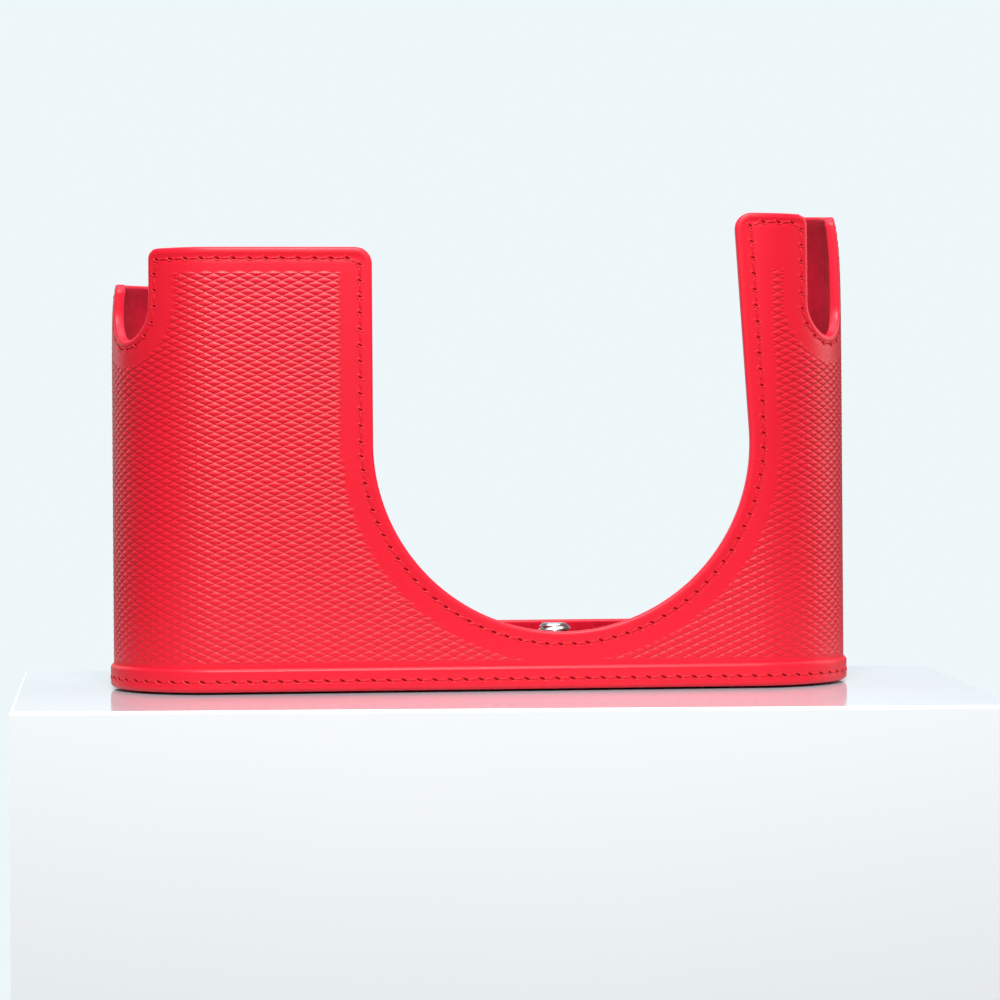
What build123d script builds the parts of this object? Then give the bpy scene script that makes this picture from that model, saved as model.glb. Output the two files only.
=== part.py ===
from build123d import *
import math
import os

# A leather half case for a compact camera: an embossed leather wall with a suede lining stands in a
# leather base tray, and a captive camera screw with its own tripod socket comes up through the floor.
# X runs along the camera, the lens side faces -Y and +Z is up.  The origin is on the screw's axis, at
# the lowest face of its head, which is what the case stands on.

# ---- driving sizes, in millimetres ----
case_width = 135.0             # across the outside of the wall
case_depth = 39.2              # front to back over the wall, with full-round ends
case_centre_x = -13.5          # the wall's middle, seen from the screw's axis
leather_thickness = 1.0
lining_thickness = 0.9
stiffener_thickness = 0.4      # fibre board let into the back of the lining
stiffener_margin = 5.0         # plain rim left round each stiffener for the stitching
stiffener_foot = 2.0           # between the stiffener's lower edge and the floor

underside_z = 0.4              # the base leather is held this far up by the screw's head
base_leather_thickness = 1.2
plate_thickness = 1.0
board_thickness = 2.0
floor_lining_thickness = 0.8
base_fit = 0.05                # round the plate, board and floor lining, inside the wall
rand_proud = 0.55              # how far the turned-up edge of the base stands out from the wall
rand_straight = 3.6            # height of the rand's upright part
rand_taper = 0.6               # height over which its top is skived thin
rand_edge = 0.15               # what is left at its top
rand_round = 1.2               # rounding of its bottom corner

front_left_top = 78.75         # height of each part of the rim
front_right_top = 84.9
rear_left_low = 73.05          # just behind the notch, from where the rear rims climb to the back
rear_left_top = 75.1
rear_right_low = 85.15
rear_right_top = 88.6
back_strip_top = 10.65
lens_radius = 33.6
lens_z = 44.05
lens_right_lean = 3.7          # degrees that the right upright leans in towards the lens
lens_top_round = 3.0           # outer corners at the top of the lens cut-out
screen_left = 38.6             # half of the open back, each side of the wall's middle
screen_right = 55.0
screen_round = 6.0
notch_width = 11.8             # strap lug notches
notch_round = 1.8
left_notch_angle = 55.2        # round each end, from straight ahead
right_notch_angle = 50.0
left_notch_floor = 62.8
right_notch_floor = 63.4

thread_radius = 3.175          # 1/4 inch camera thread
socket_radius = 2.56           # the same thread cut in the head
socket_depth = 4.2
head_radius = 8.0
head_thickness = 1.6
head_chamfer = 0.25
shank_radius = 5.0
shank_fit = 0.06               # running fit of the shank in its bush
head_clearance = 0.6           # round the head, in the base leather
screw_float = 1.0              # how far the screw drops when the case is lifted
stop_gap = 0.05                # between the head and the bush
bush_radius = 7.0
bush_flange_radius = 9.5
bush_flange_thickness = 0.8
ring_thickness = 0.6
ring_radius = 6.3
washer_thickness = 0.3
groove_depth = 0.5
groove_fit = 0.03              # radial and axial play of the ring in its groove
ring_land = 0.1                # shank left above the groove
web = 1.0                      # metal between the socket's end and the stud
stud_tip_z = 11.0
stud_chamfer = 1.0
spigot_radius = 2.0            # of the stud, pressed into the shank
spigot_depth = 0.6
coin_slot_width = 1.6
coin_slot_depth = 0.8
well_radius = 8.0              # hole in the floor round the ring
rivet_radius = 1.0
rivet_head_radius = 2.0
rivet_head_thickness = 0.4
rivet_pitch = 40.0
rivet_spread = 18.0

stitch_inset = 1.9             # middle of the seam, from the rim
stitch_width = 0.5
stitch_proud = 0.2
stitch_lift = 0.02
base_stitch_z = 2.4

# ---- sizes worked out from them ----
end_radius = case_depth / 2
straight = case_width - case_depth
base_top = underside_z + base_leather_thickness
plate_top = base_top + plate_thickness
board_top = plate_top + board_thickness
floor_z = board_top + floor_lining_thickness
rand_top = underside_z + rand_straight + rand_taper
high = max(front_left_top, front_right_top, rear_left_top, rear_right_top) + 20
far = case_width
lining_face = end_radius - leather_thickness
inner_face = lining_face - lining_thickness
bush_bottom = head_thickness + stop_gap
bush_top = plate_top + bush_flange_thickness
washer_bottom = bush_top + screw_float
ring_bottom = washer_bottom + washer_thickness
shank_top = max(ring_bottom + ring_thickness + ring_land, socket_depth + web)
wing_split = -end_radius * math.cos(math.radians((left_notch_angle + right_notch_angle) / 2))


def stadium(radius):
    """The plan of the case at a given end radius: two straight sides and two half-round ends."""
    width = straight + 2 * radius
    return Pos(case_centre_x, 0, 0) * SlotOverall(width, 2 * radius)


def prism(radius, bottom, top):
    """An upright block with the plan of the case."""
    return extrude(Pos(0, 0, bottom) * stadium(radius), top - bottom)


def shell(outer, inner, bottom, top):
    """An upright wall between two plans of the case."""
    return prism(outer, bottom, top) - prism(inner, bottom - 1, top + 1)


def on_front(sketch, start_y, end_y):
    """Extrude a drawing of the front view, with its Y upwards, from one depth to another."""
    return extrude(Plane(origin=(0, start_y, 0), x_dir=(1, 0, 0), z_dir=(0, -1, 0)) * sketch,
                   -(end_y - start_y))


def block(left, right, bottom, top):
    """A rectangle in a front view."""
    return Pos((left + right) / 2, (bottom + top) / 2) * Rectangle(right - left, top - bottom)


def front_view(grow):
    """What the front shows: two wings joined by a low rim under the round lens cut-out, whose right
    side leans in.  Every edge of the rim is moved in by the margin."""
    radius = lens_radius + grow
    lean = math.radians(lens_right_lean)
    touch = (radius * math.cos(lean), lens_z + radius * math.sin(lean))
    inward = (high - touch[1]) * math.tan(lean)
    opening = Pos(0, lens_z) * Circle(radius) + Polygon(
        (-radius, lens_z), (0, lens_z), touch, (touch[0] - inward, high), (-radius, high), align=None)
    wings = block(-far, 0, 0, front_left_top - grow) + block(0, far, 0, front_right_top - grow)
    wings -= opening
    tops = [v for v in wings.vertices() if v.Y > front_left_top - grow - 1 and abs(v.X) < radius + 1]
    return fillet(tops, lens_top_round)


def rear_view(grow):
    """What the back shows: two low-shouldered wings at the ends and a strip under the open screen."""
    left = case_centre_x - screen_left - grow
    right = case_centre_x + screen_right + grow
    opening = block(left, right, back_strip_top - grow, high)
    low_corners = opening.vertices().sort_by(Axis.Y)[:2]
    opening = fillet(low_corners, screen_round)
    wings = block(-far, 0, 0, rear_left_top - grow) + block(0, far, 0, rear_right_top - grow)
    wings -= opening
    tops = [v for v in wings.vertices() if v.Y > rear_left_top - grow - 1 and abs(v.X) < far - 1]
    return fillet(tops, lens_top_round)


def over_rear_rim(side, low, top, grow):
    """What lies over a rear wing: its rim climbs from just behind the notch to the back."""
    drawing = Polygon((wing_split, low - grow), (end_radius, top - grow), (end_radius, high),
                      (wing_split, high), align=None)
    return extrude(Plane(origin=(case_centre_x, 0, 0), x_dir=(0, 1, 0), z_dir=(1, 0, 0)) * drawing,
                   side * far)


def notch(side, angle, floor, grow):
    """A strap lug notch: a round-bottomed slot cut straight through one end of the wall."""
    radius = notch_width / 2 + grow
    centre_z = floor + notch_width / 2
    drawing = Pos(0, centre_z) * Circle(radius) + block(-radius, radius, centre_z, high)
    turn = math.radians(angle)
    outward = Vector(side * math.sin(turn), -math.cos(turn), 0)
    across = outward.cross(Vector(0, 0, -1))
    centre = Vector(case_centre_x + side * straight / 2, 0, 0)
    return extrude(Plane(origin=centre, x_dir=across, z_dir=outward) * drawing, 2 * end_radius)


def round_notch_tops(wall):
    """Round the upright corners where the notches meet the tops of the wings."""
    for side, angle in ((-1, left_notch_angle), (1, right_notch_angle)):
        turn = math.radians(angle)
        outward = Vector(side * math.sin(turn), -math.cos(turn), 0)
        across = outward.cross(Vector(0, 0, -1))
        centre = Vector(case_centre_x + side * straight / 2, 0, 0)
        corners = []
        for edge in wall.edges().filter_by(GeomType.LINE):
            place = edge.center() - centre
            beside = abs(abs(place.dot(across)) - notch_width / 2) < 0.01
            outside = place.dot(outward) > 0
            level = abs(edge.position_at(0).Z - edge.position_at(1).Z) < 0.3
            if beside and outside and level:
                corners.append(edge)
        wall = fillet(corners, notch_round)
    return wall


def cut_rim(wall, grow):
    """Cut the rim's outline out of a plain wall, with every edge moved in by a margin."""
    frame = block(-far, far, -1, high)
    wall -= on_front(frame - front_view(grow), -far, wing_split)
    wall -= on_front(frame - rear_view(grow), wing_split, far)
    wall -= over_rear_rim(-1, rear_left_low, rear_left_top, grow)
    wall -= over_rear_rim(1, rear_right_low, rear_right_top, grow)
    wall -= notch(-1, left_notch_angle, left_notch_floor, grow)
    wall -= notch(1, right_notch_angle, right_notch_floor, grow)
    return wall


def rod(radius, bottom, top):
    """A round bar on the screw's axis."""
    return Pos(0, 0, (bottom + top) / 2) * Cylinder(radius, top - bottom)


def tube(outer, inner, bottom, top):
    """A ring on the screw's axis."""
    return rod(outer, bottom, top) - rod(inner, bottom - 1, top + 1)


def wall_leather():
    """The embossed outer wall, one strip of leather closed round the camera."""
    return round_notch_tops(cut_rim(shell(end_radius, lining_face, base_top, high), 0))


def stiffener(side):
    """A fibre board that stiffens one wing and wraps round its end under the notch."""
    board = shell(lining_face, lining_face - stiffener_thickness, floor_z + stiffener_foot, high)
    board = cut_rim(board, stiffener_margin)
    near = side * lens_radius * 0.6
    reach = far + near * side
    half = Pos(near + side * reach / 2, 0, high / 2) * Box(reach, 2 * far, 3 * high)
    return board & half


def wall_lining(boards):
    """The suede lining, with a pocket in its back for each stiffener."""
    lining = round_notch_tops(cut_rim(shell(lining_face, inner_face, board_top, high), 0))
    for board in boards:
        lining -= board
    return lining


def base_leather():
    """The bottom panel, with its edge turned up round the wall and skived thin at the top."""
    outer = end_radius + rand_proud
    tray = prism(outer, underside_z, underside_z + rand_straight)
    corner = tray.faces().sort_by(Axis.Z)[0].edges()
    tray = fillet(corner, rand_round)
    lean = math.degrees(math.atan((rand_proud - rand_edge) / rand_taper))
    top = Pos(0, 0, underside_z + rand_straight) * stadium(outer)
    tray += extrude(top, rand_taper, taper=lean)
    tray -= prism(end_radius, base_top, rand_top + 1)
    return tray - rod(head_radius + head_clearance, -1, base_top + 1)


def floor_panel(radius, bottom, top, hole):
    """One flat layer of the floor, cut to fit inside the wall, with a hole for the screw."""
    return prism(radius - base_fit, bottom, top) - rod(hole, bottom - 1, top + 1)


def rivet_places():
    """Where the plate is riveted to the board, in pairs each side of the wall's middle."""
    return [Pos(x, y, 0) for x in (case_centre_x - rivet_pitch, case_centre_x + rivet_pitch)
            for y in (-rivet_spread / 2, rivet_spread / 2)]


def rivet():
    """A countersunk rivet through the plate and the board."""
    return rod(rivet_radius, base_top, board_top) + rod(
        rivet_head_radius, board_top - rivet_head_thickness, board_top)


def screw_bush():
    """A flanged brass bush that carries the screw in the plate."""
    return tube(bush_radius, shank_radius + shank_fit, bush_bottom, bush_top) + tube(
        bush_flange_radius, bush_radius, plate_top, bush_top)


def screw_stud():
    """The threaded stud that goes into the camera, with a spigot pressed into the shank."""
    stud = rod(thread_radius, shank_top, stud_tip_z)
    tip = stud.edges().filter_by(GeomType.CIRCLE).sort_by(Axis.Z)[-1]
    return chamfer(tip, stud_chamfer) + rod(spigot_radius, shank_top - spigot_depth, shank_top)


def screw_head():
    """The captive screw's body: a wide head with a coin slot and a socket for a tripod, and a plain
    shank with a groove for its ring and a hole for the stud's spigot."""
    head = rod(head_radius, 0, head_thickness)
    head = chamfer(head.edges().filter_by(GeomType.CIRCLE), head_chamfer)
    screw = head + rod(shank_radius, head_thickness, shank_top)
    screw -= rod(socket_radius, -1, socket_depth)
    screw -= rod(spigot_radius, shank_top - spigot_depth, shank_top + 1)
    groove = tube(shank_radius + 1, shank_radius - groove_depth, ring_bottom - groove_fit,
                  ring_bottom + ring_thickness + groove_fit)
    slot = Pos(0, 0, coin_slot_depth / 2) * Box(3 * head_radius, coin_slot_width, coin_slot_depth)
    return screw - groove - slot


def retaining_ring():
    """A ring in the shank's groove that keeps the screw in the case."""
    return tube(ring_radius, shank_radius - groove_depth + groove_fit, ring_bottom,
                ring_bottom + ring_thickness)


def thrust_washer():
    """A thin washer between the ring and the bush."""
    return tube(ring_radius, shank_radius + shank_fit, washer_bottom, ring_bottom)


def rim_thread():
    """The seam round the rim, as a thin raised line that follows every edge."""
    line = shell(end_radius + stitch_proud, end_radius + stitch_lift, rand_top + 0.5, high)
    outside = cut_rim(line, stitch_inset - stitch_width / 2)
    return outside - cut_rim(line, stitch_inset + stitch_width / 2)


def base_thread():
    """The seam that sews the rand to the wall, a thin raised line all round."""
    outer = end_radius + rand_proud
    return shell(outer + stitch_proud, outer + stitch_lift, base_stitch_z - stitch_width / 2,
                 base_stitch_z + stitch_width / 2)


def build():
    """Every piece of the case, by name."""
    boards = [stiffener(-1), stiffener(1)]
    plate = floor_panel(lining_face, base_top, plate_top, bush_radius)
    board = floor_panel(lining_face, plate_top, board_top, bush_flange_radius)
    rivets = [place * rivet() for place in rivet_places()]
    for piece in rivets:
        plate -= piece
        board -= piece
    return {
        "wall_leather": wall_leather(),
        "wall_lining": wall_lining(boards),
        "left_stiffener": boards[0],
        "right_stiffener": boards[1],
        "base_leather": base_leather(),
        "base_plate": plate,
        "base_board": board,
        "base_lining": floor_panel(inner_face, board_top, floor_z, well_radius),
        "base_rivets": Compound(children=rivets),
        "screw_bush": screw_bush(),
        "screw_head": screw_head(),
        "screw_stud": screw_stud(),
        "retaining_ring": retaining_ring(),
        "thrust_washer": thrust_washer(),
        "rim_thread": rim_thread(),
        "base_thread": base_thread(),
    }


os.makedirs("parts", exist_ok=True)
for name, piece in build().items():
    export_step(piece, "parts/" + name + ".step")
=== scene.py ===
import math

import bpy
import numpy as np
from mathutils import Matrix, Vector


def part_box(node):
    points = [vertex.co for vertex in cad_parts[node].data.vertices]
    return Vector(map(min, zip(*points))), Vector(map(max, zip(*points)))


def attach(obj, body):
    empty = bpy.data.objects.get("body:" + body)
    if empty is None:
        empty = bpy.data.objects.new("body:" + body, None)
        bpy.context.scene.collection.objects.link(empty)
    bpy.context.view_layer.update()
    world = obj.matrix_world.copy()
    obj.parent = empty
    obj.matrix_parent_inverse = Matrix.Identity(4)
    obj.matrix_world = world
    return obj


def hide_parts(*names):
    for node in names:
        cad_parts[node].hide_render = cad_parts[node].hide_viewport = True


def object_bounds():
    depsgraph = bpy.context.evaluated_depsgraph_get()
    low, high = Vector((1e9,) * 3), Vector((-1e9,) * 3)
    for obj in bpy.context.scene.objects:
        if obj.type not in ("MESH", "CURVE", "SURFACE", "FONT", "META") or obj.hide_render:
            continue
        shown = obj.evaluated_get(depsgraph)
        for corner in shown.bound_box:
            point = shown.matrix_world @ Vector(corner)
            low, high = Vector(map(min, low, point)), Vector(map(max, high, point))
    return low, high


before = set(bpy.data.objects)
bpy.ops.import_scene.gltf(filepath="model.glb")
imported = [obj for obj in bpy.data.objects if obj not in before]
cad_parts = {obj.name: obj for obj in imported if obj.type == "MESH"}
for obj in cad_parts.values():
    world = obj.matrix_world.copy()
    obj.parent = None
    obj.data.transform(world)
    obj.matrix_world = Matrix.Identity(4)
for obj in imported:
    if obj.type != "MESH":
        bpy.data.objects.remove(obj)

cad_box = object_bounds()

# ---------------------------------------------------------------------------------------------
# The set: a white plinth with a polished top in front of a pale backdrop, soft boxes and a long lens
# just over the plinth.  Nothing here is part of the case.


class Shade:
    """One socket of a material, with arithmetic: each sum on it adds a Math node."""

    def __init__(self, tree, socket):
        self.tree = tree
        self.socket = socket

    def node(self, kind, settings=None, out=0, **inputs):
        """Any other node: its type, its settings, which are set first, and its sockets' values or
        links, by name or, as i0, i1 and so on, by number."""
        new = self.tree.nodes.new(kind)
        for key, value in (settings or {}).items():
            if key == "ramp":
                for stop, (place, colour) in zip(new.color_ramp.elements, value):
                    stop.position = place
                    stop.color = (*colour, 1.0)
            else:
                setattr(new, key, value)
        for key, value in inputs.items():
            numbered = key[0] == "i" and key[1:].isdigit()
            target = new.inputs[int(key[1:]) if numbered else key.replace("_", " ")]
            if isinstance(value, Shade):
                self.tree.links.new(value.socket, target)
            else:
                target.default_value = value
        return Shade(self.tree, new.outputs[out])

    def math(self, operation, *values):
        sockets = {"i%d" % k: value for k, value in enumerate(values)}
        return self.node("ShaderNodeMath", {"operation": operation}, **sockets)

    def __add__(self, other):
        return self.math("ADD", self, other)

    def __radd__(self, other):
        return self.math("ADD", other, self)

    def __sub__(self, other):
        return self.math("SUBTRACT", self, other)

    def __rsub__(self, other):
        return self.math("SUBTRACT", other, self)

    def __mul__(self, other):
        return self.math("MULTIPLY", self, other)

    def mix(self, low, high):
        """The colour low where this is 0 and high where it is 1."""
        return self.node("ShaderNodeMix", {"data_type": "RGBA"}, out=2, i0=self, i6=low, i7=high)

    def stepped(self, low, high):
        """0 up to low and 1 from high, with a smooth climb between them."""
        settings = {"interpolation_type": "SMOOTHSTEP"}
        return self.node("ShaderNodeMapRange", settings, i0=self, i1=low, i2=high)

    def ramp(self, *stops):
        """Two stops, each a value of this and its colour."""
        return self.node("ShaderNodeValToRGB", {"ramp": stops}, Fac=self)

    def noise(self, scale, detail=2.0, roughness=0.5):
        """Noise with this vector as its coordinate; scale is in cells per metre."""
        return self.node("ShaderNodeTexNoise", Vector=self, Scale=scale, Detail=detail, Roughness=roughness)

    def cells(self, scale):
        return self.node("ShaderNodeTexVoronoi", Vector=self, Scale=scale)

    def bump(self, height, strength, below=None):
        """A Normal from this height, whose full range is height metres."""
        sockets = {"Height": self, "Strength": strength, "Distance": height}
        if below is not None:
            sockets["Normal"] = below
        return self.node("ShaderNodeBump", **sockets)


def new_material(name):
    """A material with one Principled shader: returns it, its shader and the object coordinates."""
    material = bpy.data.materials.new(name)
    material.use_nodes = True
    tree = material.node_tree
    shader = tree.nodes["Principled BSDF"]
    place = tree.nodes.new("ShaderNodeTexCoord")
    return material, shader, Shade(tree, place.outputs["Object"])


def feed(shader, place, **inputs):
    """Links or sets the shader's sockets: a name with _ for each space."""
    for key, value in inputs.items():
        target = shader.inputs[key.replace("_", " ")]
        if isinstance(value, Shade):
            place.tree.links.new(value.socket, target)
        else:
            target.default_value = value


def mesh_piece(name, points, faces, material, smooth=True):
    """A mesh object at the origin from points in millimetres and groups of faces, one array for each
    number of corners."""
    faces = [np.asarray(group) for group in faces if len(group)]
    sides = np.concatenate([np.full(len(group), group.shape[1]) for group in faces])
    corners = np.concatenate([group.ravel() for group in faces])
    mesh = bpy.data.meshes.new(name)
    mesh.vertices.add(len(points))
    mesh.vertices.foreach_set("co", (np.asarray(points, dtype=float) / 1000.0).ravel())
    mesh.loops.add(len(corners))
    mesh.loops.foreach_set("vertex_index", corners.astype(np.int32))
    mesh.polygons.add(len(sides))
    mesh.polygons.foreach_set("loop_start", np.concatenate([[0], np.cumsum(sides)[:-1]]).astype(np.int32))
    mesh.polygons.foreach_set("use_smooth", np.full(len(sides), smooth))
    mesh.update(calc_edges=True)
    mesh.validate()
    mesh.materials.append(material)
    piece = bpy.data.objects.new(name, mesh)
    bpy.context.scene.collection.objects.link(piece)
    return piece


def plinth_finish(name, low, high, rough, gloss):
    """White laminate, with a faint mottle."""
    material, shader, place = new_material(name)
    mottle = place.noise(30.0)
    feed(shader, place, Base_Color=mottle.mix(low, high), Roughness=rough + mottle * 0.04,
         Specular_IOR_Level=gloss)
    return material


backdrop_white = (0.85, 0.93, 0.955, 1)
backdrop_light = 0.24                    # what it casts on the case from all sides
back_glow = 0.74                         # and adds from straight behind, over these shares of its depth
glow_from, glow_full = 0.85, 0.99
backdrop = bpy.data.worlds.new("pale_backdrop")
backdrop.use_nodes = True
sky = Shade(backdrop.node_tree, None)
seen_directly = sky.node("ShaderNodeLightPath")
direction = sky.node("ShaderNodeTexCoord")
behind = sky.node("ShaderNodeSeparateXYZ", out=1, Vector=direction).stepped(glow_from, glow_full)
around_it = backdrop_light + behind * back_glow
feed(backdrop.node_tree.nodes["Background"], sky, Color=backdrop_white,
     Strength=around_it.math("MAXIMUM", around_it, seen_directly))
bpy.context.scene.world = backdrop
bpy.context.scene.view_settings.view_transform = "Standard"


def soft_box(name, place, target, width, height, power):
    """A rectangular area light aimed at a point of the case."""
    lamp = bpy.data.lights.new(name, "AREA")
    lamp.shape = "RECTANGLE"
    lamp.size = width
    lamp.size_y = height
    lamp.energy = power
    box = bpy.data.objects.new(name, lamp)
    aim = Vector(target) - Vector(place)
    box.matrix_world = Matrix.Translation(place) @ aim.to_track_quat("-Z", "Y").to_matrix().to_4x4()
    bpy.context.scene.collection.objects.link(box)


middle_x = (cad_box[0][0] + cad_box[1][0]) / 2
aim_point = (middle_x, 0.0, 0.04)
for box_name, box_place, width, height, watts in (
        ("front_soft_box", (middle_x - 0.03, -0.42, 0.45), 0.24, 0.18, 4.3),
        ("overhead_soft_box", (middle_x, 0.05, 0.80), 0.80, 0.60, 3.5),
        ("left_soft_box", (middle_x - 0.50, 0.50, 0.25), 0.25, 0.50, 0.5),
        ("right_soft_box", (middle_x + 0.55, 0.10, 0.25), 0.25, 0.50, 1.1)):
    soft_box(box_name, box_place, aim_point, width, height, watts)

lens_length = 82.5                      # millimetres on a 36 mm frame
camera_distance = 0.425
camera_height = 0.0339
camera_aside = 0.0036                   # the case's middle stands this far left of the lens axis
camera_yaw = math.radians(4.0)          # the left end of the case is the nearer one
camera_roll = math.radians(0.4)
camera_data = bpy.data.cameras.new("camera")
camera_data.lens = lens_length
camera_data.sensor_width = 36.0
camera_data.clip_start = 0.01
camera = bpy.data.objects.new("camera", camera_data)
ahead = Vector((math.sin(camera_yaw), math.cos(camera_yaw), 0.0))
aside = Vector((math.cos(camera_yaw), -math.sin(camera_yaw), 0.0))
turned_right = aside * math.cos(camera_roll) - Vector((0, 0, 1)) * math.sin(camera_roll)
turned_up = aside * math.sin(camera_roll) + Vector((0, 0, 1)) * math.cos(camera_roll)
standpoint = Vector((middle_x, 0, camera_height)) - ahead * camera_distance + aside * camera_aside
axes = Matrix((turned_right, turned_up, -ahead)).transposed().to_4x4()
camera.matrix_world = Matrix.Translation(standpoint) @ axes
bpy.context.scene.collection.objects.link(camera)
bpy.context.scene.camera = camera


def plinth():
    """The plinth squares up to the camera: a top with rounded edges, and its four sides.  Its corners
    are given by how far they lie beside and ahead of the lens."""
    near, far = 372.0, 462.0
    near_left, near_right, far_right, far_left = -80.0, 84.0, 86.0, -96.0
    foot, edge = -220.0, 0.5
    corners = ((near_left, near), (near_right, near), (far_right, far), (far_left, far))
    middle = np.mean(corners, axis=0)
    rings = []
    for inset, height in ((edge, 0.0), (0.3 * edge, -0.3 * edge), (0.0, -edge), (0.0, foot)):
        ring = [np.array(corner) + np.sign(middle - np.array(corner)) * inset for corner in corners]
        rings.append([(standpoint + (aside * beside + ahead * onward) / 1000).xy[:] + (height / 1000,)
                      for beside, onward in ring])
    points = np.array(rings).reshape(-1, 3) * 1000
    sides = [(r * 4 + k, r * 4 + 4 + k, r * 4 + 4 + (k + 1) % 4, r * 4 + (k + 1) % 4)
             for r in range(3) for k in range(4)]
    # Painted light: the polished top is coloured a darker bluish grey than the white sides, so its
    # reflections take a cool tint.
    top = mesh_piece("plinth_top", points[:4], [[(0, 1, 2, 3)]], plinth_finish(
        "polished_white_painted_cool_cast", (0.585, 0.635, 0.70, 1), (0.61, 0.655, 0.715, 1), 0.07, 0.5), smooth=False)
    body = mesh_piece("plinth_sides", points, [sides], plinth_finish(
        "white_laminate", (0.93, 0.955, 0.965, 1), (0.95, 0.965, 0.975, 1), 0.5, 0.3), smooth=False)
    return top, body


for piece in plinth():
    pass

# ---------------------------------------------------------------------------------------------
# Outer wall: one strip of vegetable-tanned leather, dyed red, pressed with small diamonds inside a
# plain border, then wrapped round the last and butted at the middle of the back.  Its cut edges are
# burnished and painted.

wall_low, wall_high = (np.array(corner) * 1000 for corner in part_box("wall_leather"))
end_radius = (wall_high[1] - wall_low[1]) / 2
half_straight = (wall_high[0] - wall_low[0]) / 2 - end_radius
centre_x = (wall_high[0] + wall_low[0]) / 2
half_length = 2 * half_straight + math.pi * end_radius     # round the case, from front to back middle

front_left_top = 78.75
front_right_top = 84.9
rear_left_low = 73.05          # the rear rims climb from just behind the notches to the back
rear_left_top = 75.1
rear_right_low = 85.15
rear_right_top = 88.6
back_strip_top = 10.65
lens_radius = 33.6
lens_z = 44.05
lens_lean = math.radians(3.7)
screen_left = 38.6
screen_right = 55.0
screen_round = 6.0
notch_half = 5.9
notch_round = 1.8
wing_round = 3.0
notches = ((-1, math.radians(55.2), 62.8), (1, math.radians(50.0), 63.4))   # side, angle, floor
wing_split_y = -end_radius * math.cos((notches[0][1] + notches[1][1]) / 2)
left_lean, left_lean_height = 0.7, 3.0       # how far the soft tops of the ends lean in, and over
right_lean, right_lean_height = 1.35, 4.5    # what height the lean dies away

diamond_width = 2 * half_length / 105
diamond_height = 1.33
diamond_depth = 0.10
field_margins = (4.3, 5.4, 4.7)              # plain border round the embossed field, as for the seam
field_foot = 5.3
narrow_field_top = 75.0        # where the field starts on the narrow wing
narrow_field_side = 4.1        # its upright limit, from the lens cut-out's widest point
field_fade = 0.35              # the embossing dies out over this width
pillow = 1.9                   # how full each diamond is: 1 is a pyramid
crown_share = 0.72             # share of a diamond's height that lies under the plain face
seam_groove = 0.09             # depth to which a seam pulls the leather in
groove_width = 0.5
roll_height, roll_place, roll_width = 0.05, 0.9, 0.4     # of the soft roll beside the edge
edge_round = 0.45
edge_depth = 1.75              # the painted edge, over the leather and most of the lining
edge_band = 1.0                # the burnished edge's width, up to the embossed sheet
wide_top_inset, narrow_top_inset = 2.0, 1.6       # of the rim's seam, from the wings' tops
lens_inset, narrow_lens_inset = 2.15, 2.7         # from the lens cut-out, and up the narrow wing
notch_inset = 1.5
narrow_inset_from, narrow_inset_over = 30.0, 25.0  # heights over which the narrow wing's inset grows
least_round = 0.4              # of the seam's own corners
no_cut = 99.0                  # a distance that stands for no cut nearby


def round_the_case(along, out, up=0.0):
    """Points on the wall: along is the distance round the case from the middle of the front, positive
    towards +X, and out is the distance outside the wall's face.  The plan is two straight sides
    joined by half circles, whose unsupported tops lean in a little."""
    side = np.sign(along)
    reach = np.abs(along)
    turn = np.clip((reach - half_straight) / end_radius, 0, math.pi)
    lean = np.where(side < 0, left_lean * np.exp(np.minimum(up - rear_left_low, 0) / left_lean_height),
                    right_lean * np.exp(np.minimum(up - rear_right_low, 0) / right_lean_height))
    radius = end_radius + out - lean * np.sin(turn) ** 4
    straight_part = np.where(turn < math.pi, np.minimum(reach, half_straight), 2 * half_straight
                             + math.pi * end_radius - reach)
    x = side * (straight_part + radius * np.sin(turn))
    y = -radius * np.cos(turn)
    return centre_x + x, y


def rounded_meeting(a, b, radius):
    """The lesser of two distances into the leather, with the corner where both are small rounded."""
    return np.minimum(np.maximum(a, radius), np.maximum(b, radius)) - np.hypot(
        np.maximum(radius - a, 0), np.maximum(radius - b, 0))


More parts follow.
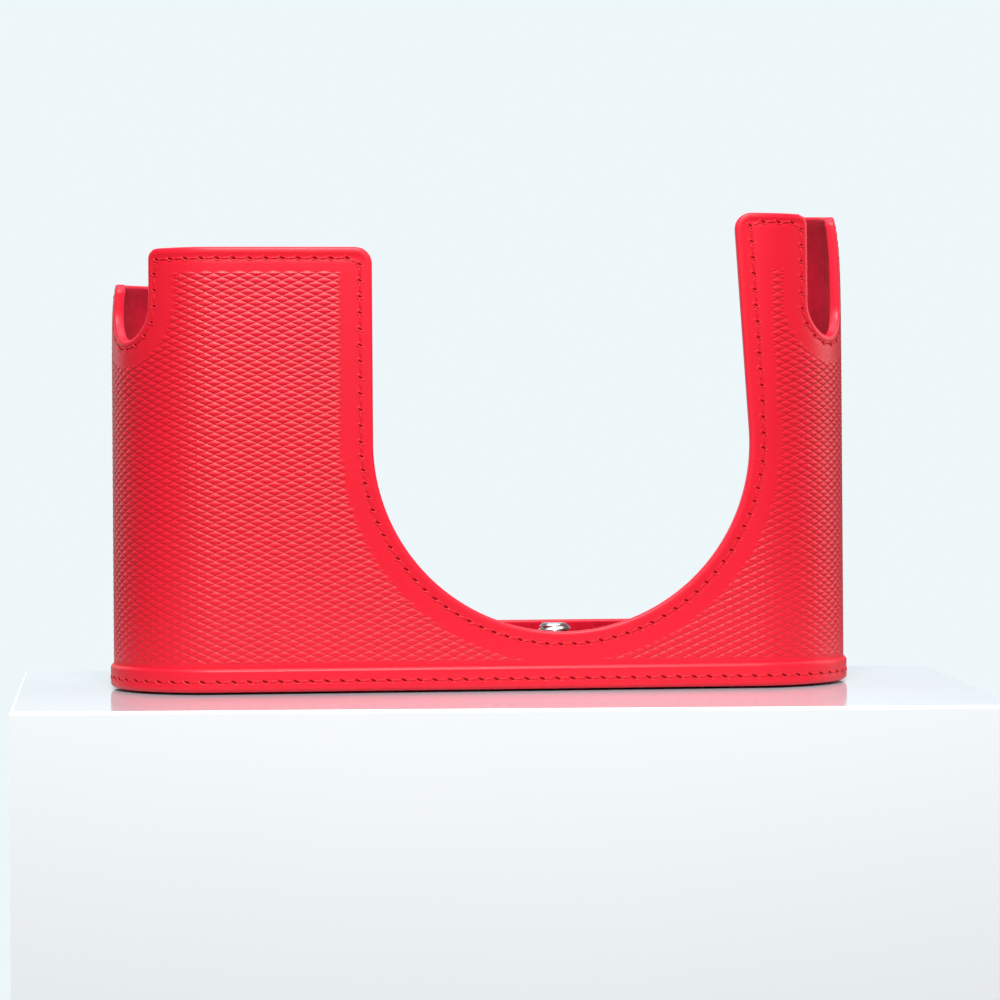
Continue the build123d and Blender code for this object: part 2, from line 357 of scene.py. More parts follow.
def rim_distance(along, up, below_top=0.0, beside_cuts=0.0, beside_slots=0.0):
    """How far a point of the flat strip lies inside the rim, or inside a line that runs these margins
    in from it: the distance below the wings' tops and outside the lens cut-out, the strap notches
    and the open back, whichever is least."""
    beside = along + centre_x
    above = up - lens_z
    rounded = np.hypot(beside, above) - lens_radius
    leaning = beside * math.cos(lens_lean) + above * math.sin(lens_lean) - lens_radius
    over_touch = above * math.cos(lens_lean) > beside * math.sin(lens_lean)
    lens = np.where(beside > 0, np.where(over_touch, leaning, rounded),
                    np.where(above > 0, -beside - lens_radius, rounded))
    slots = np.full(np.shape(along), no_cut)
    for side, angle, floor_z in notches:
        swing = (along - side * (half_straight + end_radius * angle)) / end_radius
        across = end_radius * np.sin(np.clip(swing, -math.pi / 2, math.pi / 2))
        above_floor = up - floor_z - notch_half
        slots = np.minimum(slots, np.where(above_floor > 0, np.abs(across),
                                           np.hypot(across, above_floor)) - notch_half)
    x, y = round_the_case(along, 0.0)
    x -= centre_x
    middle = (screen_right - screen_left) / 2
    half_open = (screen_right + screen_left) / 2
    q_x = np.abs(x - middle) - half_open + screen_round
    q_z = back_strip_top - up + screen_round
    back = np.hypot(np.maximum(q_x, 0), np.maximum(q_z, 0)) + np.minimum(
        np.maximum(q_x, q_z), 0) - screen_round
    back = np.where(np.abs(along) > half_length / 2, back, no_cut)
    left_notch = -(half_straight + end_radius * notches[0][1])
    right_notch = half_straight + end_radius * notches[1][1]
    climb = np.clip((y - wing_split_y) / (end_radius - wing_split_y), 0, 1)
    rear_left = rear_left_low + (rear_left_top - rear_left_low) * climb
    rear_right = rear_right_low + (rear_right_top - rear_right_low) * climb
    top = np.select([along < left_notch, along < -centre_x, along < right_notch],
                    [rear_left, front_left_top, front_right_top], rear_right)
    inside = rounded_meeting(top - up - below_top, np.minimum(lens, back) - beside_cuts,
                             np.maximum(wing_round - beside_cuts, least_round))
    return rounded_meeting(inside, slots - beside_slots, max(notch_round - beside_slots, least_round))


def slope(distance, along, up):
    """The direction in which a distance grows, by central differences."""
    small = 0.01
    du = distance(along + small, up) - distance(along - small, up)
    dz = distance(along, up + small) - distance(along, up - small)
    size = np.maximum(np.hypot(du, dz), 1e-9)
    return du / size, dz / size


def clipped_sheet(distance, step_along, step_up, foot, top):
    """A sheet of triangles on a regular grid, kept where the distance is positive and cut exactly
    where it is zero.  The grid's diagonals alternate, so creases of a diamond lattice four steps
    wide fall on edges.  Returns the points, the triangles and the cut edge in order."""
    count = int(round(2 * half_length / step_along))
    along, up = np.meshgrid(np.linspace(-half_length, half_length, count + 1),
                            np.arange(foot, top + step_up, step_up), indexing="ij")
    value = distance(along, up)
    snap = 0.3 * min(step_along, step_up)      # points this near the cut are moved on to it
    near = np.abs(value) < snap
    inner = np.ones_like(near)
    inner[0] = inner[-1] = False
    near &= inner
    grow_u, grow_z = slope(distance, along, up)
    along = np.where(near, along - value * grow_u, along)
    up = np.where(near, up - value * grow_z, up)
    value = np.where(near, 0.0, value).ravel()
    index = np.arange(value.size).reshape(along.shape)
    a, b, c, d = index[:-1, :-1], index[1:, :-1], index[1:, 1:], index[:-1, 1:]
    i, j = np.indices(a.shape)
    even = ((i - j) % 2 == 0)[..., None]
    first = np.where(even, np.stack([a, b, c], -1), np.stack([a, b, d], -1)).reshape(-1, 3)
    second = np.where(even, np.stack([a, c, d], -1), np.stack([b, c, d], -1)).reshape(-1, 3)
    triangles = np.concatenate([first, second])
    values = value[triangles]
    triangles = triangles[(values > 0).any(1)]
    held = value[triangles] >= 0
    whole = triangles[held.all(1)]
    pieces = [whole]
    ends = []

    def cut(inside, outside):
        """The point where the edge from an inside corner to an outside one crosses the cut."""
        ends.append(np.stack([inside, outside], -1))
        return -1 - (sum(len(e) for e in ends[:-1]) + np.arange(len(inside)))

    for number in (1, 2):
        for turn in range(3):
            corners = np.roll(triangles, -turn, axis=1)
            flags = np.roll(held, -turn, axis=1)
            chosen = corners[(flags.sum(1) == number) & (flags[:, 0] == (number == 1))]
            p, q, r = chosen.T
            if number == 1:
                pieces.append(np.stack([p, cut(p, q), cut(p, r)], -1))
            else:
                far, near_end = cut(r, p), cut(q, p)
                pieces.append(np.stack([q, r, far], -1))
                pieces.append(np.stack([q, far, near_end], -1))
    ends = np.concatenate(ends)
    share = value[ends[:, 0]] / (value[ends[:, 0]] - value[ends[:, 1]])
    flat_along, flat_up = along.ravel(), up.ravel()
    _, first_of, which = np.unique(ends[:, 0] * value.size + ends[:, 1], return_index=True,
                                   return_inverse=True)
    new_along = flat_along[ends[:, 0]] * (1 - share) + flat_along[ends[:, 1]] * share
    new_up = flat_up[ends[:, 0]] * (1 - share) + flat_up[ends[:, 1]] * share
    new_along, new_up = new_along[first_of], new_up[first_of]
    seam = np.abs(np.abs(new_along) - half_length) < 1e-6
    for _ in range(2):
        miss = distance(new_along, new_up)
        grow_u, grow_z = slope(distance, new_along, new_up)
        new_along = np.where(seam, new_along, new_along - miss * grow_u)
        new_up = new_up - miss * grow_z
    lookup = np.where(value[ends[:, 0]] == 0, ends[:, 0], value.size + which.ravel())
    triangles = np.concatenate(pieces)
    fresh = triangles < 0
    triangles[fresh] = lookup[-1 - triangles[fresh]]
    distinct = (triangles[:, 0] != triangles[:, 1]) & (triangles[:, 1] != triangles[:, 2]) & (
        triangles[:, 2] != triangles[:, 0])
    triangles = triangles[distinct]
    along = np.concatenate([flat_along, new_along])
    up = np.concatenate([flat_up, new_up])
    on_cut = np.concatenate([value == 0, np.ones(len(new_along), bool)])
    used, triangles = np.unique(triangles, return_inverse=True)
    triangles = triangles.reshape(-1, 3)
    along, up, on_cut = along[used], up[used], on_cut[used]
    edges = np.concatenate([triangles[:, [0, 1]], triangles[:, [1, 2]], triangles[:, [2, 0]]])
    forward = edges[:, 0] * len(used) + edges[:, 1]
    backward = edges[:, 1] * len(used) + edges[:, 0]
    border = edges[~np.isin(forward, backward) & on_cut[edges].all(1)]
    after = dict(border.tolist())
    start = (set(after) - set(after.values())).pop()
    path = [start]
    while path[-1] in after:
        path.append(after[path[-1]])
    return along, up, triangles, np.array(path[::-1])


def diamonds(along, up):
    """The embossing: each point's height on its diamond, from 0 in the crease to 1 at the crown, and
    how much of the embossing is left at the field's edge."""
    across = np.abs((along / diamond_width + 0.5) % 1.0 - 0.5)
    upward = np.abs(((up - wall_low[2]) / diamond_height + 0.5) % 1.0 - 0.5)
    crease = 2 * (across + upward)
    crease = np.minimum(crease, 2 - crease)
    field = np.minimum(rim_distance(along, up, *field_margins), up - field_foot)
    on_narrow_wing = (along > -centre_x) & (along < half_straight + end_radius * notches[1][1])
    field = np.where(on_narrow_wing, np.minimum(field, narrow_field_top - up), field)
    beside = along + centre_x - lens_radius - narrow_field_side
    field = np.where(on_narrow_wing & (up > lens_z), np.minimum(field, beside), field)
    return 1 - crease ** pillow, np.clip(field / field_fade, 0, 1)


def seam_line(along, up):
    """Distance from the rim's seam, which runs further in on the lens side of the narrow wing."""
    narrow = along > -centre_x
    climb = np.where(narrow, np.clip((up - narrow_inset_from) / narrow_inset_over, 0, 1), 0.0)
    beside_lens = lens_inset + (narrow_lens_inset - lens_inset) * climb
    below_top = np.where(narrow, narrow_top_inset, wide_top_inset)
    return rim_distance(along, up, below_top, beside_lens, notch_inset)


def edge_roll(inside):
    """Height of the soft roll between the seam's groove and the edge."""
    return roll_height * np.exp(-((inside - roll_place) / roll_width) ** 2)


def leather_face(along, up, inside):
    """Height of the leather over its plain face: pillowed diamonds pressed below the border, the
    groove that the seam pulls in, and the edge's roll."""
    height, share = diamonds(along, up)
    groove = -seam_groove * np.exp(-(seam_line(along, up) / groove_width) ** 2)
    return share * (height - crown_share) * diamond_depth + groove + edge_roll(inside)


def roll_edge(along, up, path, distance, profile, taken):
    """Carries a cut edge round to the inside: profile is a list of (how far nearer the rim, how far
    outside the wall's face), and each row is the cut edge moved along the distance's slope.
    Returns the rows' points and quads; row 0 is the sheet's own edge."""
    grow_u, grow_z = slope(distance, along[path], up[path])
    rows = []
    for nearer, out in profile:
        row_u = np.clip(along[path] - grow_u * nearer, -half_length, half_length)
        row_z = up[path] - grow_z * nearer
        x, y = round_the_case(row_u, out, row_z)
        rows.append(np.stack([x, y, row_z], -1))
    index = np.concatenate([path, taken + np.arange(len(path) * len(profile))]).reshape(-1, len(path))
    quads = np.stack([index[:-1, :-1], index[:-1, 1:], index[1:, 1:], index[1:, :-1]], -1)
    return np.concatenate(rows), quads.reshape(-1, 4)


def leather_finish(name, red, crease_shade, grain, rough):
    """Dyed leather: fine pores and creases as bump, a slow drift of colour, sharp creases between the
    diamonds darkened with painted shade, and a smoother painted edge.  The point attribute diamonds
    holds the place in the lattice, in diamonds, and the embossing's share; the attribute edge is 1 on
    the painted edge."""
    material, shader, place = new_material(name)
    lattice = place.node("ShaderNodeAttribute", {"attribute_name": "diamonds"}, out=1)
    column = lattice.node("ShaderNodeSeparateXYZ", Vector=lattice)
    row, share = (Shade(column.tree, column.socket.node.outputs[k]) for k in (1, 2))
    across = column.math("ABSOLUTE", column.math("FRACT", column) - 0.5)
    upward = row.math("ABSOLUTE", row.math("FRACT", row) - 0.5)
    both = (across + upward) * 2
    crease = both.math("MINIMUM", both, 2 - both)
    edge = place.node("ShaderNodeAttribute", {"attribute_name": "edge"}, out=2)
    drift = place.noise(70.0, 3.0)
    pores = place.cells(2600.0)
    wrinkles = place.noise(900.0, 4.0, 0.6)
    tone = drift.mix(red, tuple(0.86 * v for v in red[:3]) + (1,))
    # Painted shade: the creases between the diamonds are darkened towards a deeper red, as the shade in them
    # would be.
    crease_shade_mask = crease.math("POWER", crease, 6.0) * share
    tone = (crease_shade_mask * 0.7).mix(tone, crease_shade)
    tone = (edge * 0.5).mix(tone, (min(red[0] * 1.05, 1), red[1] * 2.0, red[2] * 1.8, 1))
    fine = wrinkles * 0.6 + pores * 0.4
    quiet = 1 - edge * 0.8
    facets = (1 - crease.math("POWER", crease, 2.1)) * share
    grained = (fine * quiet).bump(grain, 0.55)
    feed(shader, place, Base_Color=tone, Roughness=rough + drift * 0.08 + wrinkles * 0.06,
         Normal=facets.bump(facet_height, 1.0, grained), Specular_IOR_Level=0.36, Coat_Weight=0.03,
         Coat_Roughness=0.3)
    return material


def mark_sheet(piece, along=(), up=(), share=(), edge=()):
    """Stores what the leather's finish reads at each point; points that aren't given are plain."""
    count = len(piece.data.vertices)
    lattice = np.zeros((count, 3))
    lattice[:len(along), 0] = np.array(along) / diamond_width + 0.5
    lattice[:len(up), 1] = (np.array(up) - wall_low[2]) / diamond_height + 0.5
    lattice[:len(share), 2] = share
    piece.data.attributes.new("diamonds", "FLOAT_VECTOR", "POINT").data.foreach_set("vector", lattice.ravel())
    painted = np.zeros(count)
    painted[:len(edge)] = edge
    piece.data.attributes.new("edge", "FLOAT", "POINT").data.foreach_set("value", painted)


facet_height = 0.00011
red_dye = (0.86, 0.008, 0.028, 1)
# Painted shade for the creases between the diamonds: a darker red, not a second dye.
painted_crease_shade_red = (0.56, 0.003, 0.010, 1)
leather = leather_finish("embossed_red_leather", red_dye, painted_crease_shade_red, 0.00004, 0.34)


def outer_wall():
    """The embossed sheet, its rounded edge and a narrow return behind it."""
    def band(along, up):
        return rim_distance(along, up) - edge_band

    along, up, triangles, path = clipped_sheet(band, diamond_width / 4, diamond_height / 4,
                                               wall_low[2], rear_right_top)
    inside = rim_distance(along, up)
    x, y = round_the_case(along, leather_face(along, up, inside), up)
    share = diamonds(along, up)[1]
    band_steps, return_round, return_end = (0.85, 0.65), 0.35, -0.2
    profile = [(edge_band - inside_rim, edge_roll(inside_rim)) for inside_rim in band_steps]
    profile += [(edge_band - edge_round * (1 - math.sin(t)), edge_round * (math.cos(t) - 1))
                for t in np.radians([0, 15, 30, 50, 70, 90])]
    profile += [(edge_band - return_round * (1 - math.cos(t)),
                 -edge_depth + return_round * (1 - math.sin(t))) for t in np.radians([0, 30, 60, 90])]
    profile += [(return_end, -edge_depth)]
    rows, quads = roll_edge(along, up, path, band, profile, len(along))
    points = np.concatenate([np.stack([x, y, up], -1), rows])
    piece = mesh_piece("embossed_wall", points, [triangles, quads], leather)
    paint_starts = [0.0, 0.3, 0.6, 0.8]
    on_edge = np.repeat(paint_starts + [1.0] * (len(profile) - len(paint_starts)), len(path))
    mark_sheet(piece, along, up, share, np.concatenate([np.zeros(len(along)), on_edge]))
    return piece


wall = outer_wall()
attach(wall, "case")
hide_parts("wall_leather")

# ---------------------------------------------------------------------------------------------
# Wall lining: goat suede glued to the leather after the stiffener boards are in, trimmed flush at
# the rim and painted over there with the leather's edge.  Its nap lies in soft patches.

lining_inner = -1.9
board_top_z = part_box("base_lining")[0][2] * 1000


def suede_finish(name, light, dark):
    """Suede: a matt nap of short fibres, brushed in patches lighter and darker."""
    material, shader, place = new_material(name)
    patches = place.noise(120.0, 3.0, 0.6)
    nap = place.noise(3200.0, 3.0, 0.7)
    tone = (patches * 0.6 + nap * 0.4).ramp((0.36, dark), (0.66, light))
    feed(shader, place, Base_Color=tone, Roughness=0.86 + nap * 0.12,
         Normal=(nap * 0.7 + patches * 0.3).bump(0.00022, 0.7), Specular_IOR_Level=0.15, Sheen_Weight=0.2,
         Sheen_Roughness=0.4, Sheen_Tint=(0.95, 0.12, 0.18, 1))
    return material


suede = suede_finish("crimson_suede", (0.66, 0.008, 0.032), (0.38, 0.004, 0.018))


def wall_suede():
    """The lining's inner face, turned inwards, with its edge rolled over to meet the leather."""
    trim, cell_height = 0.8, 1.1
    wave_depth, wave_fade = 0.05, 3.0

    def band(along, up):
        return rim_distance(along, up) - trim

    along, up, triangles, path = clipped_sheet(band, diamond_width / 3, cell_height, board_top_z,
                                               rear_right_top)
    waves = wave_depth * np.sin(along / 5.3 + 1.3 * np.sin(up / 9.1)) * np.sin(up / 6.7 + 0.8)
    loose = np.clip((rim_distance(along, up) - 1) / wave_fade, 0, 1)
    x, y = round_the_case(along, lining_inner + waves * loose, up)
    profile = [(0.15, lining_inner), (0.28, lining_inner + 0.03), (0.36, lining_inner + 0.09),
               (0.40, lining_inner + 0.2), (0.40, lining_inner + 0.5)]
    rows, quads = roll_edge(along, up, path, band, profile, len(along))
    points = np.concatenate([np.stack([x, y, up], -1), rows])
    return mesh_piece("suede_wall", points, [triangles[:, ::-1], quads[:, ::-1]], suede)


lining = wall_suede()
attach(lining, "case")
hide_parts("wall_lining")

# ---------------------------------------------------------------------------------------------
# Base: a bottom panel of the same leather, left plain.  Its edge is turned up round the wall as a
# rand, skived thin at the top, sewn through and pressed, so the lower corner is round.

base_low, base_high = (np.array(corner) * 1000 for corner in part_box("base_leather"))
rand_proud = (base_high[0] - base_low[0]) / 2 - end_radius - half_straight
rand_top = base_high[2]
underside = base_low[2]
rand_upright = 3.6
rand_edge = 0.15
corner_round = 0.8
base_seam_z = 2.30
base_leather_thickness = 1.2
skive = 1.6                    # how full the thinned top of the rand stays
base_groove_width = 0.42
head_hole = 8.6
plain_leather = leather_finish("plain_red_leather", red_dye, painted_crease_shade_red, 0.00005, 0.36)


def closed_wrap(profile, columns):
    """A profile of (out, up) pairs carried once round the case, closed on itself: the points, the
    quads and the points' numbers, a row for each column."""
    along = np.linspace(-half_length, half_length, columns, endpoint=False)
    out, up = np.array(profile).T
    grid_along, grid_out = np.meshgrid(along, out, indexing="ij")
    x, y = round_the_case(grid_along, grid_out)
    points = np.stack([x, y, np.broadcast_to(up, x.shape)], -1)
    index = np.arange(x.size).reshape(x.shape)
    ahead_of = np.roll(index, -1, axis=0)
    quads = np.stack([index[:, :-1], ahead_of[:, :-1], ahead_of[:, 1:], index[:, 1:]], -1)
    return points.reshape(-1, 3), quads.reshape(-1, 4), index


def disc_round_screw(edge, hole_profile, start):
    """A flat panel from a ring of edge points in to a round hole on the screw's axis: each spoke is a
    straight line towards the axis, then follows the hole's profile of (radius, height) pairs."""
    rings = 26
    angle = np.arctan2(edge[:, 1], edge[:, 0])
    way = np.stack([np.cos(angle), np.sin(angle)], -1)
    first_radius, first_up = hole_profile[0]
    share = (np.arange(1, rings) / rings)[:, None, None]
    target = way * first_radius
    flat = edge[None, :, :2] * (1 - share) + target[None] * share
    flat_up = edge[None, :, 2:] * (1 - share) + first_up * share
    rows = [np.concatenate([flat, np.broadcast_to(flat_up, flat[..., :1].shape)], -1).reshape(-1, 3)]
    for radius, height in hole_profile:
        rows.append(np.concatenate([way * radius, np.full((len(way), 1), height)], -1))
    count = rings - 1 + len(hole_profile)
    index = start + np.arange(count * len(edge)).reshape(count, len(edge))
    return np.concatenate(rows), index


def ring_quads(index):
    """Quads between rows of closed rings."""
    nxt = np.roll(index, -1, axis=1)
    return np.stack([index[:-1], nxt[:-1], nxt[1:], index[1:]], -1).reshape(-1, 4)


def base_panel():
    """The rand and the underside in one mesh, down to the rolled edge of the screw's hole."""
    foot, steps, columns, inner_strip = underside, 9, 440, 0.8
    thinned = [(rand_edge + (rand_proud - rand_edge) * (1 - (1 - t) ** skive),
                rand_top - t * (rand_top - foot - rand_upright)) for t in np.linspace(0, 1, steps)]
    upright = []
    for up in np.linspace(foot + rand_upright, foot + corner_round, steps)[1:]:
        groove = seam_groove * math.exp(-((up - base_seam_z) / base_groove_width) ** 2)
        upright.append((rand_proud - groove, up))
    corner = [(rand_proud - corner_round * (1 - math.cos(t)), foot + corner_round * (1 - math.sin(t)))
              for t in np.linspace(0, math.pi / 2, steps)[1:]]
    profile = [(-0.05, rand_top - 0.25), (0.0, rand_top)] + thinned + upright + corner
    profile += [(rand_proud - corner_round - inner_strip, foot)]
    points, quads, index = closed_wrap(profile, columns)
    edge = points[index[:, -1]]
    roll = [(head_hole + 0.5, foot), (head_hole + 0.2, foot + 0.06), (head_hole + 0.05, foot + 0.2),
            (head_hole, foot + 0.45), (head_hole, foot + base_leather_thickness)]
    panel, rows = disc_round_screw(edge, roll, len(points))
    rows = np.concatenate([index[:, -1][None], rows])
    piece = mesh_piece("plain_base", np.concatenate([points, panel]),
                       [quads[:, ::-1], ring_quads(rows)[:, ::-1]], plain_leather)
    mark_sheet(piece)
    return piece


base = base_panel()
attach(base, "case")
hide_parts("base_leather")

# ---------------------------------------------------------------------------------------------
# Floor lining: a panel of the same suede glued over the base board, with a round hole for the
# screw.  It is slightly padded, so it dips a little at its edges.

floor_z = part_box("base_lining")[1][2] * 1000
well_radius = 8.0
lining_gap = 0.03              # between the floor's edge and the wall's lining
dip_width, dip_depth, dip_start = 0.6, 0.25, 0.02      # of the floor's padded edge


def floor_suede():
    """The floor's top face, up against the wall's lining and turned down into the screw's well."""
    along = np.linspace(-half_length, half_length, 360, endpoint=False)
    x, y = round_the_case(along, lining_inner - lining_gap)
    edge = np.stack([x, y, np.full(len(x), floor_z - dip_depth)], -1)
    x, y = round_the_case(along, lining_inner - dip_width)
    inner = np.stack([x, y, np.full(len(x), floor_z - dip_start)], -1)
    roll = [(well_radius + 0.5, floor_z), (well_radius + 0.15, floor_z - 0.08),
            (well_radius, floor_z - 0.3), (well_radius, board_top_z)]
    panel, rows = disc_round_screw(inner, roll, 2 * len(x))
    rings = np.arange(2 * len(x)).reshape(2, -1)
    rows = np.concatenate([rings, rows])
    return mesh_piece("suede_floor", np.concatenate([edge, inner, panel]), [ring_quads(rows)], suede)


floor_lining = floor_suede()
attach(floor_lining, "case")
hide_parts("base_lining")

# ---------------------------------------------------------------------------------------------
# Seams: waxed polyester thread in the leather's red, lockstitched by machine.  The needle is
# a blade, so each hole is a short slit set aslant to the seam, and the pull of the thread raises
# the leather on both sides of it.

lens_pitch = 2.42              # stitches are shorter round the lens cut-out
rim_pitch = 2.85
base_pitch = 2.72
thread_radius = 0.17
slit_turn = math.radians(-24.0)
slit_half_length = 0.56
slit_half_width = 0.20
rim_slit, base_slit = 0.95, 1.25         # sizes of each seam's slits
thread_slant = 0.03
thread_lift, slit_lift = 0.05, 0.035     # over the groove's floor
lip_width = 0.34


def thread_finish():
    """Waxed thread: two plies show as a fine slanted twist."""
    material, shader, place = new_material("red_thread")
    twist = place.node("ShaderNodeTexWave", {"wave_type": "BANDS", "bands_direction": "DIAGONAL"}, out=1,
                       Vector=place, Scale=900.0, Distortion=1.5)
    feed(shader, place, Base_Color=twist.mix((0.66, 0.006, 0.016, 1), (0.84, 0.010, 0.028, 1)),
         Roughness=0.45 + twist * 0.1, Normal=twist.bump(0.00003, 0.5), Specular_IOR_Level=0.3)
    return material


def slit_shade_finish():
    """The inside of a needle's slit: painted shade, a dark red that stands for the shade deep in the narrow
    hole.
    """
    material, shader, place = new_material("needle_slit_painted_shade")
    # Painted shade: the slit is coloured a near-black red for the shadow inside the hole.
    feed(shader, place, Base_Color=place.noise(1500.0).mix((0.16, 0.001, 0.006, 1), (0.24, 0.002, 0.008, 1)),
         Roughness=0.9, Specular_IOR_Level=0.1)
    return material


thread_red = thread_finish()
painted_slit_shade = slit_shade_finish()


def spaced(along, up, pitch):
    """Places along a path on the flat strip, about a pitch apart, where pitch is a value for each
    point of the path."""
    steps = np.hypot(np.diff(along), np.diff(up))
    length = np.concatenate([[0], np.cumsum(steps)])
    number = np.concatenate([[0], np.cumsum(steps / ((pitch[1:] + pitch[:-1]) / 2))])
    count = int(round(number[-1]))
    share = number[-1] / count
    at = np.interp((np.arange(count) + 0.5) * share, number, length)
    return np.interp(at, length, along), np.interp(at, length, up)


def laid_on_wall(name, material, template, faces, along, up, du, dz, turn, out, stretch):
    """Copies a small shape to every place of a seam.  The template's first axis runs along the seam,
    stretched and turned by an angle, the second across it and the third out of the leather."""
    cos, sin = math.cos(turn), math.sin(turn)
    length = template[:, 0] * stretch[:, None]
    first = length * cos - template[:, 1] * sin
    second = length * sin + template[:, 1] * cos
    at_along = along[:, None] + first * du[:, None] - second * dz[:, None]
    at_up = up[:, None] + first * dz[:, None] + second * du[:, None]
    lift = out[:, None] + template[:, 2]
    x, y = round_the_case(at_along, lift, at_up)
    points = np.stack([x, y, at_up], -1).reshape(-1, 3)
    start = (np.arange(len(along)) * len(template))[:, None, None]
    return mesh_piece(name, points, [(faces[None] + start).reshape(-1, faces.shape[1])], material)


def tube_quads(rings, sides):
    """Quads of an open tube whose rings follow each other."""
    index = np.arange(rings * sides).reshape(rings, sides)
    nxt = np.roll(index, -1, axis=1)
    return np.stack([index[:-1], index[1:], nxt[1:], nxt[:-1]], -1).reshape(-1, 4)


def rings_of(rings, sides):
    """Where each point of a small shape lies: its ring and its place round the ring, in radians."""
    return np.meshgrid(rings, np.linspace(0, 2 * math.pi, sides, endpoint=False), indexing="ij")


def stitch_shape():
    """One stitch, a millimetre long before it is stretched: a thread that rises out of one slit, lies
    along the leather and dives into the next.  Its radius swells a little in the middle."""
    rings, sides = 9, 8
    share, angle = rings_of(np.linspace(0, 1, rings), sides)
    arch = np.sin(math.pi * share)
    radius = thread_radius * (0.35 + 0.65 * arch ** 0.45)
    length = (share - 0.5) * 0.86
    across = radius * 1.15 * np.cos(angle) + 0.10 * (share - 0.5) * 2
    lift = radius * 0.6 * np.sin(angle) - 0.16 + 0.18 * arch ** 0.6
    return np.stack([length, across, lift], -1).reshape(-1, 3), tube_quads(rings, sides)[:, ::-1]


def slit_shape():
    """A needle's slit: a shallow lens that carries the hole's painted shade."""
    rings, sides = 4, 12
    share, angle = rings_of(np.linspace(1, 0.02, rings), sides)
    across = slit_half_width * share * np.sin(angle)
    along = slit_half_length * share * np.cos(angle)
    lift = 0.05 * np.sqrt(np.maximum(1 - share ** 2, 0)) - 0.02
    return np.stack([along, across, lift], -1).reshape(-1, 3), tube_quads(rings, sides)[:, ::-1]


def lip_shape():
    """The leather raised round a slit: a low rounded ring, higher on its lower side."""
    rings, sides = 6, 16
    share, angle = rings_of(np.linspace(0, 1, rings), sides)
    grow = 0.02 + lip_width * share
    across = (slit_half_width + grow) * np.sin(angle)
    along = (slit_half_length + grow) * np.cos(angle)
    lift = (0.14 - 0.08 * np.sin(angle)) * np.sin(math.pi * share) ** 1.2 - 0.03
    return np.stack([along, across, lift], -1).reshape(-1, 3), tube_quads(rings, sides)


def sew(name, along, up, pitch, slit, surface, node):
    """One seam along a path on the flat strip, in a groove whose floor stands at a height over the
    wall's face: threads, slits and the raised leather round them.  The slits keep one direction on
    the strip, whichever way the seam runs."""
    hole_u, hole_z = spaced(along, up, pitch)
    to_u = np.diff(hole_u, append=2 * hole_u[-1] - hole_u[-2])
    to_z = np.diff(hole_z, append=2 * hole_z[-1] - hole_z[-2])
    size = np.hypot(to_u, to_z)
    face, slit_size = np.full(len(size), surface), np.full(len(size), slit)
    level, upright = np.ones(len(size)), np.zeros(len(size))
    template, faces = stitch_shape()
    thread = laid_on_wall(name + "_thread", thread_red, template, faces, hole_u + to_u / 2,
                          hole_z + to_z / 2, to_u / size, to_z / size, thread_slant,
                          face + thread_lift, size)
    # The slits are shallow lenses on the leather, dark with painted shade where the needle holes are.
    template, faces = slit_shape()
    slits = laid_on_wall(name + "_slits", painted_slit_shade, template, faces, hole_u, hole_z, level, upright,
                         slit_turn, face + slit_lift, slit_size)
    template, faces = lip_shape()
    lips = laid_on_wall(name + "_lips", plain_leather, template, faces, hole_u, hole_z, level, upright,
                        slit_turn, face, slit_size)
    mark_sheet(lips)
    for piece in (thread, slits, lips):
        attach(piece, "case")
    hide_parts(node)


path_step = 0.5
seam_u, seam_z, _, seam_path = clipped_sheet(seam_line, path_step, path_step, wall_low[2], rear_right_top)
seam_u, seam_z = seam_u[seam_path], seam_z[seam_path]
lens_reach = lens_radius + 5
round_lens = (seam_z < lens_z) & (np.abs(seam_u + centre_x) < lens_reach)
rim_pitches = np.where(round_lens, lens_pitch, rim_pitch)
sew("rim", seam_u, seam_z, rim_pitches, rim_slit, -seam_groove, "rim_thread")
around = np.linspace(-half_length, half_length, 900)
sew("base", around, np.full_like(around, base_seam_z), np.full_like(around, base_pitch), base_slit,
    rand_proud - seam_groove, "base_thread")

# ---------------------------------------------------------------------------------------------
# Camera stud: a quarter inch, 20 to the inch screw turned from steel and nickel plated, with a
# chamfered tip.  Its plain spigot is pressed into the head below.

stud_low, stud_high = (np.array(corner) * 1000 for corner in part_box("screw_stud"))
crest = (stud_high[0] - stud_low[0]) / 2
shank_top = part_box("screw_head")[1][2] * 1000
pitch_of_thread = 1.27
thread_depth = 0.62
tip_chamfer = 1.0


def bright_metal(name, colour, rough, brush):
    """Plated or turned metal: fine rings from the tool, faint handling marks."""
    material, shader, place = new_material(name)
    rings = place.node("ShaderNodeTexWave", {"wave_type": "RINGS", "rings_direction": "Z"}, out=1,
                       Vector=place, Scale=brush, Distortion=0.4)
    smears = place.noise(180.0, 3.0)
    dull = tuple(0.8 * v for v in colour[:3]) + (1,)
    feed(shader, place, Base_Color=smears.mix(colour, dull), Metallic=1.0, Roughness=rough + smears * 0.12,
         Normal=(rings * 0.5 + smears * 0.5).bump(0.00001, 0.4))
    return material


nickel = bright_metal("nickel_plate", (0.62, 0.62, 0.64, 1), 0.18, 1400.0)


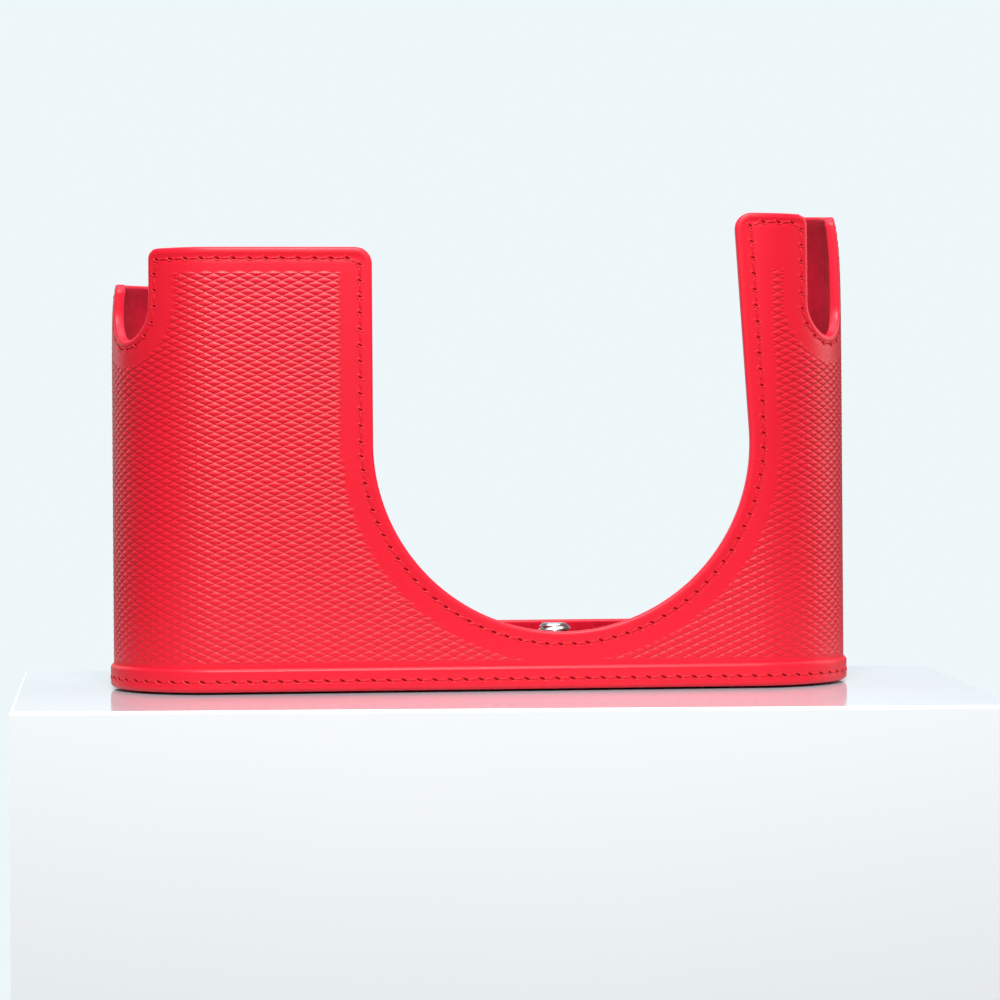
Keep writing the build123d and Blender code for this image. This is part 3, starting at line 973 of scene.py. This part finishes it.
def stud_thread():
    """Radius as a function of turn and height: a rounded V that climbs one pitch each turn, cut down
    by the tip's cone and run out at the shank."""
    sides, rings, cap_rings = 72, 84, 3
    turn = np.linspace(0, 2 * math.pi, sides, endpoint=False)
    height = np.linspace(shank_top, stud_high[2], rings)
    up, angle = np.meshgrid(height, turn, indexing="ij")
    phase = (up / pitch_of_thread - angle / (2 * math.pi)) % 1.0
    ridge = np.clip(2 * np.abs(phase - 0.5) * 1.25 - 0.1, 0, 1)
    run_out = np.clip((up - shank_top) / pitch_of_thread, 0, 1)
    radius = crest - thread_depth * (1 - ridge) * run_out
    radius = np.minimum(radius, crest - tip_chamfer + (stud_high[2] - up))
    points = np.stack([radius * np.cos(angle), radius * np.sin(angle), up], -1).reshape(-1, 3)
    cap_share = np.array([0.8, 0.4, 0.001])[:, None]
    cap = np.stack([cap_share * radius[-1] * np.cos(turn), cap_share * radius[-1] * np.sin(turn),
                    np.full((cap_rings, sides), stud_high[2])], -1).reshape(-1, 3)
    quads = tube_quads(rings + cap_rings, sides)[:, ::-1]
    return mesh_piece("threaded_stud", np.concatenate([points, cap]), [quads], nickel)


stud = stud_thread()
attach(stud, "screw")
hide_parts("screw_stud")

# ---------------------------------------------------------------------------------------------
# Screw head, bush, ring and washer: turned parts that show in the well and under the base.  They
# keep their own shapes and take their finishes here, as do the plate, rivets and boards inside.


def board_finish():
    """Pressed fibre board: short matted fibres in brown."""
    material, shader, place = new_material("fibre_board")
    fibres = place.noise(700.0, 4.0, 0.7)
    feed(shader, place, Base_Color=fibres.ramp((0.35, (0.16, 0.10, 0.06)), (0.65, (0.36, 0.25, 0.16))),
         Roughness=0.9, Normal=fibres.bump(0.0001, 0.6))
    return material


def washer_finish():
    """Natural nylon: waxy, slightly yellow."""
    material, shader, place = new_material("natural_nylon")
    cloud = place.noise(300.0)
    feed(shader, place, Base_Color=cloud.mix((0.75, 0.73, 0.66, 1), (0.82, 0.80, 0.74, 1)),
         Roughness=0.42 + cloud * 0.1, Normal=cloud.bump(0.00002, 0.4), Subsurface_Weight=0.1)
    return material


board_brown = board_finish()
finishes = {
    "screw_head": nickel,
    "screw_bush": bright_metal("turned_brass", (0.72, 0.50, 0.20, 1), 0.26, 1100.0),
    "retaining_ring": bright_metal("ring_steel", (0.42, 0.42, 0.44, 1), 0.32, 900.0),
    "base_rivets": bright_metal("rivet_steel", (0.56, 0.56, 0.58, 1), 0.30, 1500.0),
    "base_plate": bright_metal("plate_steel", (0.50, 0.50, 0.52, 1), 0.34, 60.0),
    "thrust_washer": washer_finish(),
    "base_board": board_brown,
    "left_stiffener": board_brown,
    "right_stiffener": board_brown,
}
for node_name, finish in finishes.items():
    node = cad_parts[node_name]
    node.data.materials.clear()
    node.data.materials.append(finish)
